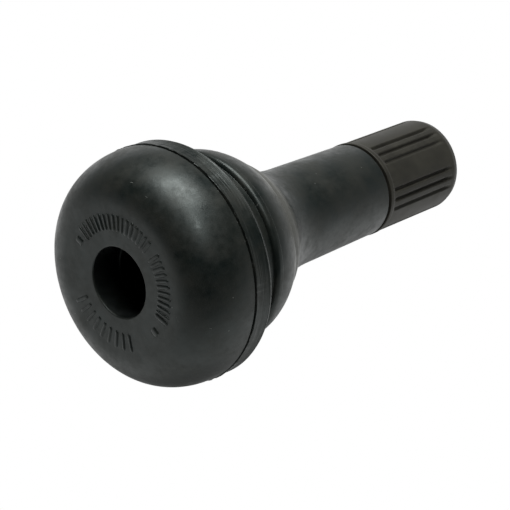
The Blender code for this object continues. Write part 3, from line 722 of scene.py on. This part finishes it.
on_wall = node(tree, "FunctionNodeCompare", {0: off, 1: ON_WALL}, data_type="FLOAT", operation="LESS_THAN")
press_in(tree, given, axes, reach, depth, on_wall)
thread_tree = tree

# %% [markdown]
# ## Brass stem
# The stem is turned from brass bar. Its foot and two barbs sit in the rubber, the cap
# screws on the thread outside, and the valve core sits in the bore. Only the mouth
# and the thread show, once the cap is off.

# %% Sizes of the brass stem
CAP_PITCH, CAP_THREAD_DEPTH = 0.79375, 0.45
OUTER_FORM = {"Root": 0.10, "Slope": 0.75}
CORE_BORE_R, CHAMBER_R, AIR_BORE_R = 2.68, 2.12, 1.75
WAIST_R = THREAD_R - 0.75
WAIST_TOP_Z = SLEEVE_END_Z - 3.60
BARB_R, BARB_LENGTH = WAIST_R + 0.40, 1.2
BARB_STARTS = (FOOT_Z + 4.7, FOOT_Z + 10.7)
FOOT_R, FOOT_THICK, FOOT_TAPER = 4.50, 1.0, 0.6
CHAMBER_BOTTOM_Z = PIN_BOTTOM_Z - 1.90
SEAT_TOP_Z, SEAT_BOTTOM_Z = PLUG_BOTTOM_Z - 0.45, heights("barrel_packing")[0] - 0.05


def stem_line(gap=0.0):
    """Outside of the stem in the rubber, from foot to sleeve's end, moved out by a gap."""
    line = [
        (FOOT_R, FOOT_Z - gap), (FOOT_R, FOOT_Z + FOOT_THICK), (WAIST_R, FOOT_Z + FOOT_THICK + FOOT_TAPER)]
    for barb in BARB_STARTS:
        line += [(WAIST_R, barb), (BARB_R, barb + BARB_LENGTH), (WAIST_R, barb + BARB_LENGTH + gap)]
    line += [(WAIST_R, WAIST_TOP_Z), (THREAD_R, WAIST_TOP_Z + 0.75), (THREAD_R, SLEEVE_END_Z)]
    return [(r + gap, z) for r, z in line]


print(len(BARB_STARTS), "barbs of", round(2 * BARB_R, 2), "mm hold the stem in the rubber")

# %% [markdown]
# The outline is closed: up the outside and down the bore. The wall that takes the
# thread has a row of points every twelfth of a pitch, which the tree can move.

# %% Brass stem
thread_rows = [(THREAD_R, z) for z in rows(SLEEVE_END_Z + 0.05, MOUTH_Z - 0.35, CAP_PITCH / 12)]
stem_outline = [(AIR_BORE_R, FOOT_Z)] + stem_line() + thread_rows + [
    (THREAD_R - 0.30, MOUTH_Z, 0.08), (CORE_BORE_R + 0.25, MOUTH_Z, 0.06), (CORE_BORE_R, MOUTH_Z - 0.25),
    (CORE_BORE_R, SEAT_TOP_Z), (CHAMBER_R, SEAT_BOTTOM_Z), (CHAMBER_R, CHAMBER_BOTTOM_Z),
    (AIR_BORE_R, CHAMBER_BOTTOM_Z - 0.37)]
stem = piece_from(spun(rounded(stem_outline), 96), "threaded_stem", STEM_BRASS)
grow(stem, thread_tree, Pitch=CAP_PITCH * MM, Depth=CAP_THREAD_DEPTH * MM, Radius=THREAD_R * MM,
     Start=(SLEEVE_END_Z + 0.1) * MM, End=(MOUTH_Z + 0.2) * MM, **OUTER_FORM, Material=STEM_BRASS)
dress(stem, "valve_body", "stem_brass", "brass_stem")

# %% [markdown]
# ## Rubber body
# One moulding: a domed head with a flat face round the air inlet, a band that seals on
# the rim, a shallow groove whose rubber is squeezed by the rim's hole, a shoulder bead,
# a cone that bulges, two rounded ridges, a neck and a sleeve. The dome is a quarter of
# an ellipse that is a little fuller, and the neck is a power curve. Such rules need
# few numbers, and each can be measured in the photograph.

# %% Sizes of the rubber body
INLET_R = 3.385
FACE_R, FACE_Z = 7.0, 0.13
DOME_R, DOME_Z, DOME_FULLNESS, DOME_STEPS = 11.40, 5.80, 2.1, 24
SLOT_R, SLOT_LOW_Z, SLOT_HIGH_Z = DOME_R - 0.24, DOME_Z + 0.01, DOME_Z + 0.19
BAND_TOP_Z, WITNESS_STEP = 8.15, 0.03
GROOVE_R = 9.16
SHOULDER_R, SHOULDER_Z, SHOULDER_TOP_Z = 9.66, 10.95, 11.70
CONE_R, BULGE_POWER = 9.52, 1.8
RIDGE_R, RIDGE_Z = 8.36, 14.98
VALLEY_R, VALLEY_Z = 7.70, 15.62
SECOND_RIDGE_R, SECOND_RIDGE_Z = 6.98, 17.12
NECK_START_R, NECK_START_Z, NECK_POWER = 6.22, 18.0, 2.65
NECK_END_R, NECK_END_Z = 4.99, 24.0
SLEEVE_R, SLEEVE_LIP = 4.86, 0.12
SLEEVE_TOP_Z = SLEEVE_END_Z + SLEEVE_LIP
print("the sleeve ends", round(CAP_BOTTOM_Z - SLEEVE_TOP_Z, 2), "mm below the cap")

# %% [markdown]
# **Head.** Where the two halves of the mould met, a narrow slot runs round the head
# and a thin fin of flash stands out above it. A small step near the band's end is the
# witness line of the mould's insert.

# %% Outline of the head and groove
dome = []
for step in range(DOME_STEPS + 1):
    turn = math.radians(90) * step / DOME_STEPS
    share_out, share_up = (wave(turn) ** (2 / DOME_FULLNESS) for wave in (math.sin, math.cos))
    dome.append((FACE_R + (DOME_R - FACE_R) * share_out, DOME_Z - (DOME_Z - FACE_Z) * share_up))
seam = [
    (SLOT_R, SLOT_LOW_Z), (SLOT_R, SLOT_HIGH_Z), (FLASH_R - 0.06, DOME_Z + 0.20),
    (FLASH_R, DOME_Z + 0.23), (DOME_R + 0.01, DOME_Z + 0.28)]
inlet_line = [(INLET_R, 3.70), (INLET_R - 0.10, 3.58), (INLET_R, 3.46)]
band_end = [
    (DOME_R, BAND_TOP_Z - 0.34), (DOME_R + WITNESS_STEP, BAND_TOP_Z - 0.28),
    (DOME_R - WITNESS_STEP, BAND_TOP_Z - 0.20), (DOME_R - 2 * WITNESS_STEP, BAND_TOP_Z, 0.12)]
head = inlet_line + [(INLET_R, FACE_Z, 0.12)] + dome + seam + band_end
groove = [(GROOVE_R, BAND_TOP_Z, 0.30), (GROOVE_R, SHOULDER_Z, 0.03)]
print("the dome has", len(dome), "points")

# %% [markdown]
# **Shoulder, neck and sleeve.** The cone and the second ridge both fall slowly at
# first and steeply at their end, so one helper makes them. The neck's curve runs out
# into the sleeve without an edge. The cavity follows the brass stem with a small gap.

# %% Outline of the shoulder, neck and sleeve


def bulged(start, end, steps):
    """Points of a cone that falls slowly at first and steeply at its end."""
    (start_r, start_z), (end_r, end_z) = start, end
    shares = [step / steps for step in range(steps + 1)]
    return [(start_r + (end_r - start_r) * t ** BULGE_POWER, start_z + (end_z - start_z) * t) for t in shares]


shoulder = [
    (SHOULDER_R, SHOULDER_Z, 0.45), (SHOULDER_R, SHOULDER_TOP_Z, 0.10), (CONE_R, SHOULDER_TOP_Z + 0.06)]
shoulder += bulged((CONE_R, SHOULDER_TOP_Z + 0.12), (RIDGE_R, RIDGE_Z), 12)
shoulder += [(VALLEY_R, VALLEY_Z, 0.30)]
shoulder += bulged((VALLEY_R, VALLEY_Z), (SECOND_RIDGE_R, SECOND_RIDGE_Z), 8)[3:]
neck = []
for z in rows(NECK_START_Z, NECK_END_Z, 0.4):
    left = (NECK_END_Z - z) / (NECK_END_Z - NECK_START_Z)
    neck.append((NECK_END_R + (NECK_START_R - NECK_END_R) * left ** NECK_POWER, z))
sleeve_end = [(SLEEVE_R, SLEEVE_TOP_Z, 0.14)]
cavity = [(THREAD_R + 0.05, SLEEVE_TOP_Z)] + stem_line(gap=0.05)[::-1] + [(INLET_R, FOOT_Z - 0.05)]
body_outline = rounded(head + groove + shoulder + neck + sleeve_end + cavity)
print("rubber outline has", len(body_outline), "points")

# %% [markdown]
# **Torn flash.** The fin comes out of the spin perfectly round. Its outer points are
# pulled back by a slow random wave and by a few torn nicks, from a fixed seed, so that
# every run gives the same fin.

# %% Rubber body with torn flash
BODY_SEGMENTS = 360
FLASH_WANDER = 0.07
NICK_COUNT, NICK_DEPTH, NICK_WIDTH = 30, 0.16, math.radians(1.2)

bm = spun(body_outline, BODY_SEGMENTS)
chance = random.Random(6)
waves = [(chance.randint(2, 17), chance.uniform(0, math.tau), chance.uniform(0.2, 1.0)) for _ in range(6)]
nicks = [chance.uniform(-math.pi, math.pi) for _ in range(NICK_COUNT)]
for vert in bm.verts:
    reach = math.hypot(vert.co.x, vert.co.y)
    if reach < (FLASH_R - 0.05) * MM:
        continue
    turn = math.atan2(vert.co.y, vert.co.x)
    pull = FLASH_WANDER * abs(sum(size * math.sin(count * turn + start) for count, start, size in waves)) / 2
    for nick in nicks:
        away = abs((turn - nick + math.pi) % math.tau - math.pi) / NICK_WIDTH
        pull = max(pull, NICK_DEPTH * max(0.0, 1 - away * away))
    vert.co.xy *= 1 - pull * MM / reach
body = piece_from(bm, "moulded_body", RUBBER)
print("flash torn in", len(nicks), "places")

# %% [markdown]
# **Marks on the face.** A plain ring of short raised ticks and two dots goes round the
# air inlet. The tree rounds a bar by subdivision, puts one on each of many points,
# turns it by its own number and varies its width and height, as cut marks vary in a
# mould. The ticks are joined to the body, because they are part of the moulding.

# %% Tree for a ring of ticks
TICK_LIFT = 0.53  # height of a tick's middle above z = 0, as a share of its height
WORN_LEAST, WORN_MOST = (1.0, 0.75, 0.82), (1.0, 1.5, 1.0)

tree, given = new_tree(
    "ring of ticks", Count=20, First_angle=0.0, Angle_step=0.1, Ring_radius=5.7 * MM,
    Length=1.7 * MM, Width=0.3 * MM, Height=0.26 * MM, Seed=3)
points = node(tree, "GeometryNodeMeshLine", {"Count": given["Count"], "Offset": (0, 0, 0)})
number = node(tree, "GeometryNodeInputIndex")
turn = node(tree, MATH, {
    0: number, 1: given["Angle step"], 2: given["First angle"]}, operation="MULTIPLY_ADD")
turn = node(tree, "ShaderNodeCombineXYZ", {"Z": turn})
size = node(tree, "ShaderNodeCombineXYZ", {"X": given["Length"], "Y": given["Width"], "Z": given["Height"]})
tick = node(tree, "GeometryNodeMeshCube", {"Size": size, "Vertices X": 5})
tick = node(tree, "GeometryNodeSubdivisionSurface", {"Mesh": tick, "Level": 2})
tick = node(tree, "GeometryNodeSetShadeSmooth", {"Geometry": tick, "Shade Smooth": True})
lift = node(tree, MATH, {0: given["Height"], 1: TICK_LIFT}, operation="MULTIPLY")
away = node(tree, "ShaderNodeCombineXYZ", {"X": given["Ring radius"], "Z": lift})
tick = node(tree, "GeometryNodeTransform", {"Geometry": tick, "Translation": away})
worn = node(tree, "FunctionNodeRandomValue", {
    "Min": WORN_LEAST, "Max": WORN_MOST, "Seed": given["Seed"]}, data_type="FLOAT_VECTOR")
ring = node(tree, "GeometryNodeInstanceOnPoints", {
    "Points": points, "Instance": tick, "Rotation": turn, "Scale": worn})
joined = node(tree, "GeometryNodeJoinGeometry", {"Geometry": given["Geometry"]})
fill(tree, joined, {"Geometry": ring})
close_tree(tree, joined, given["Material"])
marks_tree = tree

# %% [markdown]
# Three arcs of ticks leave gaps between them, and the two dots stand in two of the
# gaps. The same tree makes a dot from a bar that is as wide as it is long.

# %% Marks round the air inlet
TICK_RING_R, TICK_HEIGHT = 5.7, 0.40
# How many; the first one's angle and the step in degrees; length and width in mm.
MARKS = (
    (17, -131.0, 5.6, 1.75, 0.42), (12, -29.0, 5.4, 1.75, 0.42), (9, 86.0, 9.0, 1.9, 0.42),
    (2, -141.3, 188.5, 0.90, 0.90))

for count, first, step, length, width in MARKS:
    grow(body, marks_tree, Count=count, First_angle=math.radians(first), Angle_step=math.radians(step),
         Ring_radius=TICK_RING_R * MM, Length=length * MM, Width=width * MM, Height=TICK_HEIGHT * MM,
         Material=RUBBER)
dress(body, "valve_body", "black_rubber", "rubber_body")

# %% [markdown]
# ## Cap
# The cap is a moulded cup. Groups of three grip grooves run along it between a plain
# rim and a plain end, and the third of each group is shallower. A tree presses them
# into the wall: the angle is folded into one group, then into one groove, and a smooth
# curve gives the depth, which fades out towards the end of the cap.

# %% Tree for the grip grooves
tree, given = new_tree(
    "grip grooves", Groups=6, Turn=0.0, Groove_pitch=0.2, Groove_width=0.1, Depth=0.3 * MM,
    Third_depth=-0.25, Start=0.0, End=1.0, Run_out=0.3 * MM, Fade=1.2 * MM, Inner=4.3 * MM)
axes, reach, angle = polar(tree)
angle = node(tree, MATH, {0: angle, 1: given["Turn"]}, operation="SUBTRACT")
group = node(tree, MATH, {0: math.tau, 1: given["Groups"]}, operation="DIVIDE")
half = node(tree, MATH, {0: group, 1: 0.5}, operation="MULTIPLY")
minus_half = node(tree, MATH, {0: half, 1: -1.0}, operation="MULTIPLY")
folded = node(tree, MATH, {0: angle, 1: half, 2: minus_half}, operation="WRAP")
nearest = node(tree, MATH, {0: folded, 1: given["Groove pitch"]}, operation="DIVIDE")
nearest = node(tree, MATH, {0: nearest}, operation="ROUND")
nearest = node(tree, "ShaderNodeClamp", {"Value": nearest, "Min": -1.0, "Max": 1.0})
middle = node(tree, MATH, {0: nearest, 1: given["Groove pitch"]}, operation="MULTIPLY")
offset = node(tree, MATH, {0: folded, 1: middle}, operation="SUBTRACT")
offset = node(tree, MATH, {0: offset}, operation="ABSOLUTE")
half_width = node(tree, MATH, {0: given["Groove width"], 1: 0.5}, operation="MULTIPLY")
across = node(tree, MATH, {0: offset, 1: half_width}, operation="DIVIDE")
across = node(tree, RAMP, {
    "Value": across, "From Min": 1.0, "From Max": 0.25}, interpolation_type="SMOOTHSTEP")
third = node(tree, "ShaderNodeClamp", {"Value": nearest})
share = node(tree, MATH, {0: third, 1: given["Third depth"], 2: 1.0}, operation="MULTIPLY_ADD")
across = node(tree, MATH, {0: across, 1: share}, operation="MULTIPLY")
along = between_ends(tree, axes["Z"], given, given["Run out"], given["Fade"])
along = node(tree, RAMP, {"Value": along}, interpolation_type="SMOOTHSTEP")
depth = node(tree, MATH, {0: across, 1: along}, operation="MULTIPLY")
depth = node(tree, MATH, {0: depth, 1: given["Depth"]}, operation="MULTIPLY")
outside = node(tree, "FunctionNodeCompare", {
    0: reach, 1: given["Inner"]}, data_type="FLOAT", operation="GREATER_THAN")
press_in(tree, given, axes, reach, depth, outside)
grooves_tree = tree

# %% [markdown]
# The wall is spun with many thin columns, and with close rows where the grooves begin
# and end, so that the pressed grooves come out smooth. The thread tree then raises the
# thread in the bore.

# %% Sizes of the cap
CAP_SEGMENTS = 432
CAP_R = 4.87
CAP_RIM_R, CAP_RIM_HEIGHT = radius_of("cap"), 0.45
CAP_BORE_R = THREAD_R + 0.10
CAP_CEILING_Z = heights("cap_seal")[1] + 0.05
INNER_FORM = {"Root": 0.30, "Slope": 0.60}
INNER_THREAD_DEPTH = 0.40
THREAD_START_Z, THREAD_END_Z = CAP_BOTTOM_Z + 0.6, CAP_CEILING_Z - 1.6
GROOVE_RISE, GROOVE_END_GAP, GROOVE_RUN, GROOVE_FADE = 0.62, 1.05, 0.50, 1.70
GROOVE_START_Z, GROOVE_END_Z = CAP_BOTTOM_Z + GROOVE_RISE, CAP_END_Z - GROOVE_END_GAP
GROOVE_TURN, GROOVE_PITCH, GROOVE_WIDTH = (math.radians(degrees) for degrees in (10.4, 12.2, 6.4))
GROOVE_DEPTH, GROOVE_INNER_R = 0.33, 4.5
print("grooves run from", round(GROOVE_START_Z, 2), "to", round(GROOVE_END_Z, 2), "mm")

# %% Cap
bore = [(CAP_BORE_R, z) for z in rows(THREAD_END_Z, THREAD_START_Z, CAP_PITCH / 8)]
groove_low = rows(GROOVE_START_Z, GROOVE_START_Z + GROOVE_RUN, 0.09)
groove_high = rows(GROOVE_END_Z - GROOVE_FADE, GROOVE_END_Z, 0.12)
wall = [(CAP_R, z) for z in groove_low + rows(groove_low[-1], groove_high[0], 2.0)[1:-1] + groove_high]
cap_outline = [(0, CAP_CEILING_Z), (CAP_BORE_R, CAP_CEILING_Z)] + bore + [
    (CAP_BORE_R, CAP_BOTTOM_Z + 0.30), (CAP_BORE_R + 0.30, CAP_BOTTOM_Z, 0.08),
    (CAP_RIM_R, CAP_BOTTOM_Z, 0.08), (CAP_RIM_R, CAP_BOTTOM_Z + CAP_RIM_HEIGHT, 0.05)] + wall + [
    (CAP_R - 0.03, CAP_END_Z - 0.9, 0.8), (CAP_R - 0.30, CAP_END_Z, 0.62), (0, CAP_END_Z)]
cap = piece_from(spun(rounded(cap_outline), CAP_SEGMENTS), "grip_cap", CAP_PLASTIC)
grow(cap, grooves_tree, Groups=6, Turn=GROOVE_TURN, Groove_pitch=GROOVE_PITCH, Groove_width=GROOVE_WIDTH,
     Depth=GROOVE_DEPTH * MM, Start=GROOVE_START_Z * MM, End=GROOVE_END_Z * MM, Run_out=GROOVE_RUN * MM,
     Fade=GROOVE_FADE * MM, Inner=GROOVE_INNER_R * MM, Material=CAP_PLASTIC)
grow(cap, thread_tree, Pitch=CAP_PITCH * MM, Depth=INNER_THREAD_DEPTH * MM, Start=THREAD_START_Z * MM,
     End=THREAD_END_Z * MM, Radius=CAP_BORE_R * MM, **INNER_FORM, Material=CAP_PLASTIC)
dress(cap, "screw_cap", "cap_plastic", "cap")

# %% [markdown]
# ## Valve core
# The plug screws the core into the stem. It has a fine thread and two flats for the
# core key. It is spun like the stem, and the flats are made by holding the points of
# its top between two planes, which keeps the mesh closed.

# %% Core plug
CORE_PITCH, CORE_THREAD_DEPTH = 0.70556, 0.33
FLATS_HALF_WIDTH = 1.35
FLATS_Z = PLUG_TOP_Z - 1.50
NECK_HOLE_R, PIN_HOLE_R = 1.30, 0.80
HEAD_R, HEAD_LOW_Z, HEAD_HIGH_Z = 1.70, PLUG_BOTTOM_Z + 0.75, PLUG_BOTTOM_Z + 1.65

plug_wall = [(PLUG_R, z) for z in rows(PLUG_BOTTOM_Z + 0.15, FLATS_Z - 0.10, CORE_PITCH / 12)]
plug_outline = [(NECK_HOLE_R, PLUG_BOTTOM_Z), (PLUG_R - 0.15, PLUG_BOTTOM_Z)] + plug_wall + [
    (PLUG_R - 0.15, FLATS_Z), (PLUG_R - 0.15, PLUG_TOP_Z - 0.15), (PLUG_R - 0.30, PLUG_TOP_Z),
    (PIN_HOLE_R, PLUG_TOP_Z, 0.08), (PIN_HOLE_R, HEAD_HIGH_Z), (HEAD_R, HEAD_HIGH_Z), (HEAD_R, HEAD_LOW_Z),
    (NECK_HOLE_R, HEAD_LOW_Z)]
bm = spun(rounded(plug_outline), 96)
for vert in bm.verts:
    if vert.co.z > (FLATS_Z - 0.05) * MM:
        vert.co.y = max(-FLATS_HALF_WIDTH * MM, min(FLATS_HALF_WIDTH * MM, vert.co.y))
plug = piece_from(bm, "threaded_plug", PLUG_BRASS)
grow(plug, thread_tree, Pitch=CORE_PITCH * MM, Depth=CORE_THREAD_DEPTH * MM, Radius=PLUG_R * MM,
     Start=(PLUG_BOTTOM_Z + 0.1) * MM, End=FLATS_Z * MM, **OUTER_FORM, Material=PLUG_BRASS)
dress(plug, "valve_body", "plug_brass", "core_plug")

# %% [markdown]
# **Pin.** The pin runs through the whole core, and pressing it opens the valve. It is
# wire with a headed tip, a flange that the spring lifts and a rivet under the cup, so
# one outline from end to end makes it.

# %% Core pin
PIN_R, PIN_TIP_R, PIN_FLANGE_R, PIN_RIVET_R = 0.50, 0.65, 1.08, 0.90
CUP_Z = heights("seat_cup")[0]
FLANGE_Z, FLANGE_THICK = SPRING_TOP_Z + 0.05, 0.40

pin_outline = [
    (0, PIN_BOTTOM_Z), (PIN_RIVET_R, PIN_BOTTOM_Z, 0.15), (PIN_RIVET_R, CUP_Z - 0.05), (PIN_R, CUP_Z - 0.05),
    (PIN_R, FLANGE_Z), (PIN_FLANGE_R, FLANGE_Z, 0.06), (PIN_FLANGE_R, FLANGE_Z + FLANGE_THICK, 0.06),
    (PIN_R, FLANGE_Z + FLANGE_THICK), (PIN_R, PIN_TIP_Z - 0.75), (PIN_TIP_R, PIN_TIP_Z - 0.60),
    (PIN_TIP_R, PIN_TIP_Z, 0.15), (0, PIN_TIP_Z)]
pin = piece_from(spun(rounded(pin_outline), 64), "pressed_pin", PIN_BRASS)
dress(pin, "pin", "pin_brass", "core_pin")

# %% [markdown]
# **Spring.** A coil spring follows a helix, so a Spiral curve carries a small circle
# along it.

# %% Core spring
SPRING_COIL_R, SPRING_WIRE_R, SPRING_TURNS = 0.88, 0.12, 6.0

tree, given = new_tree(
    "coil spring", Turns=SPRING_TURNS, Coil_radius=SPRING_COIL_R * MM, Wire_radius=SPRING_WIRE_R * MM,
    Low=0.0, High=1.0)
length = node(tree, MATH, {0: given["High"], 1: given["Low"]}, operation="SUBTRACT")
length = node(tree, MATH, {0: given["Wire radius"], 1: -2.0, 2: length}, operation="MULTIPLY_ADD")
helix = node(tree, "GeometryNodeCurveSpiral", {
    "Resolution": 40, "Rotations": given["Turns"], "Start Radius": given["Coil radius"],
    "End Radius": given["Coil radius"], "Height": length})
base = node(tree, MATH, {0: given["Low"], 1: given["Wire radius"]}, operation="ADD")
base = node(tree, "ShaderNodeCombineXYZ", {"Z": base})
helix = node(tree, "GeometryNodeTransform", {"Geometry": helix, "Translation": base})
wire = node(tree, "GeometryNodeCurvePrimitiveCircle", {"Resolution": 14, "Radius": given["Wire radius"]})
coil = node(tree, "GeometryNodeCurveToMesh", {"Curve": helix, "Profile Curve": wire, "Fill Caps": True})
smooth = node(tree, "GeometryNodeSetShadeSmooth", {"Geometry": coil, "Shade Smooth": True})
close_tree(tree, smooth, given["Material"])

spring = bpy.data.objects.new("coil_spring", bpy.data.meshes.new("coil_spring"))
bpy.context.scene.collection.objects.link(spring)
grow(spring, tree, Low=SPRING_BOTTOM_Z * MM, High=SPRING_TOP_Z * MM, Material=SPRING_STEEL)
dress(spring, "valve_body", "spring_steel", "core_spring")
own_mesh(spring)

# %% [markdown]
# ## Pieces kept from the CAD
# The barrel, its packing, the cup, the gasket and the cap's washer already have the
# right shape, so their nodes stay and only get a finish.

# %% Finishes of the kept nodes
KEPT = {
    "core_barrel": BARREL_BRASS, "barrel_packing": PACKING, "seat_cup": CUP_BRASS,
    "seat_gasket": GASKET, "cap_seal": SEAL}
for name, material in KEPT.items():
    for slot in frame["nodes"][name].material_slots:
        slot.material = material
    print(name, "now has", material.name)
